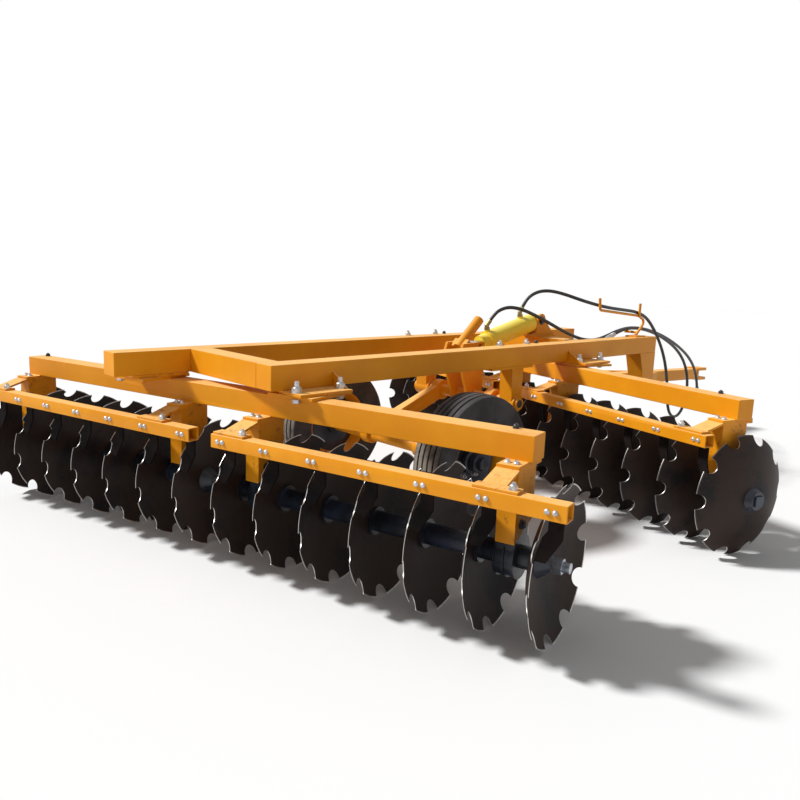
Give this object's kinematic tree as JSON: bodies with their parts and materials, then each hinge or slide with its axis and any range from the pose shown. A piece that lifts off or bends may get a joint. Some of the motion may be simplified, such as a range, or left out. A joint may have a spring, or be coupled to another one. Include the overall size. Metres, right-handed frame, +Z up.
{
  "type": "trailed offset disc harrow",
  "caption": "Trailed offset disc harrow: two angled rows of notched discs under a box frame, with scrapers, lift wheels, a hydraulic cylinder and a drawbar.",
  "frame": {"origin": "on the ground under the middle of the harrow's bounding box", "axes": "+X forward to the hitch, +Y to the left, +Z up"},
  "size_m": [5.6781, 3.319, 1.2341],
  "materials": {
    "machine_paint": "gloss",
    "cylinder_paint": "gloss",
    "rim_paint": "gloss",
    "disc_steel": "satin",
    "black_iron": "satin",
    "bright_steel": "satin",
    "scraper_steel": "satin",
    "chromed_rod": "polished",
    "tyre": "matte",
    "hose_rubber": "matte",
    "fitting_steel": "satin"
  },
  "bodies": {
    "frame": {"clamp_plates_lower": "machine_paint", "clamp_plates_upper": "machine_paint", "cylinder_bracket": "machine_paint", "front_bearings": "black_iron", "front_gang_beam": "machine_paint", "front_hangers": "machine_paint", "front_legs": "machine_paint", "front_scraper_bars": "machine_paint", "front_scrapers": "scraper_steel", "hose_couplers": "hose_rubber", "hose_front": "hose_rubber", "hose_rear": "hose_rubber", "hose_rest": "machine_paint", "left_rail": "machine_paint", "middle_cross_member": "machine_paint", "rear_bearings": "black_iron", "rear_cross_member": "machine_paint", "rear_gang_beam": "machine_paint", "rear_hangers": "machine_paint", "rear_scraper_bars": "machine_paint", "rear_scrapers": "scraper_steel", "right_rail": "machine_paint", "rock_shaft_hangers": "machine_paint"},
    "lift": {"rock_shaft": "machine_paint", "wheel_arms": "machine_paint", "axle": "machine_paint", "lift_lever": "machine_paint", "lock_tube": "machine_paint"},
    "wheel_right": {"tyre_right": "tyre", "rim_right": "rim_paint"},
    "wheel_left": {"tyre_left": "tyre", "rim_left": "rim_paint"},
    "barrel": {"cylinder_barrel": "cylinder_paint", "barrel_fittings": "fitting_steel"},
    "rod": {"cylinder_rod": "chromed_rod"},
    "drawbar": {"drawbar_cross_tube": "machine_paint", "tongue": "machine_paint", "drawbar_braces": "machine_paint", "hitch_clevis": "machine_paint"},
    "gang_rear_right": {"discs_rear_right": "disc_steel", "spools_rear_right": "black_iron", "gang_bolt_rear_right": "bright_steel"},
    "gang_rear_left": {"discs_rear_left": "disc_steel", "spools_rear_left": "black_iron", "gang_bolt_rear_left": "bright_steel"},
    "gang_front_right": {"discs_front_right": "disc_steel", "spools_front_right": "black_iron", "gang_bolt_front_right": "bright_steel"},
    "gang_front_left": {"discs_front_left": "disc_steel", "spools_front_left": "black_iron", "gang_bolt_front_left": "bright_steel"}
  },
  "joints": [
    {"name": "lift_hinge", "type": "hinge", "parent": "frame", "child": "lift", "pos_m": [-0.46169, 0.10937, 0.579], "axis": [0, -1, 0], "range_deg": [-5, 30]},
    {"name": "wheel_right_spin", "type": "hinge", "parent": "lift", "child": "wheel_right", "pos_m": [-1.05969, -0.46963, 0.361], "axis": [0, 1, 0], "continuous": true},
    {"name": "wheel_left_spin", "type": "hinge", "parent": "lift", "child": "wheel_left", "pos_m": [-1.05969, 0.68837, 0.361], "axis": [0, 1, 0], "continuous": true},
    {"name": "barrel_swing", "type": "hinge", "parent": "frame", "child": "barrel", "pos_m": [0.22531, 0.10937, 1.022], "axis": [0, -1, 0], "range_deg": [-1.26, 0.21], "deforming": ["hose_front", "hose_rear"]},
    {"name": "rod_slide", "type": "slide", "parent": "barrel", "child": "rod", "axis": [-0.9748, 0, -0.2232], "range_m": [-0.02513, 0.1508]},
    {"name": "drawbar_hinge", "type": "hinge", "parent": "frame", "child": "drawbar", "pos_m": [1.09831, 0.10937, 0.55], "axis": [0, -1, 0], "range_deg": [-12, 18]},
    {"name": "gang_rear_right_spin", "type": "hinge", "parent": "frame", "child": "gang_rear_right", "pos_m": [-2.17169, 0.10937, 0.302], "axis": [-0.2538, 0.9673, 0], "continuous": true},
    {"name": "gang_rear_left_spin", "type": "hinge", "parent": "frame", "child": "gang_rear_left", "pos_m": [-2.17169, 0.10937, 0.302], "axis": [-0.2538, 0.9673, 0], "continuous": true},
    {"name": "gang_front_right_spin", "type": "hinge", "parent": "frame", "child": "gang_front_right", "pos_m": [0.17431, 0.10937, 0.302], "axis": [0.2706, 0.9627, 0], "continuous": true},
    {"name": "gang_front_left_spin", "type": "hinge", "parent": "frame", "child": "gang_front_left", "pos_m": [0.17431, 0.10937, 0.302], "axis": [0.2706, 0.9627, 0], "continuous": true}
  ],
  "couplings": [
    {"joint": "barrel_swing", "follows": "lift_hinge", "ratio": -0.042},
    {"joint": "rod_slide", "follows": "lift_hinge", "m_per_rad": 0.288}
  ]
}
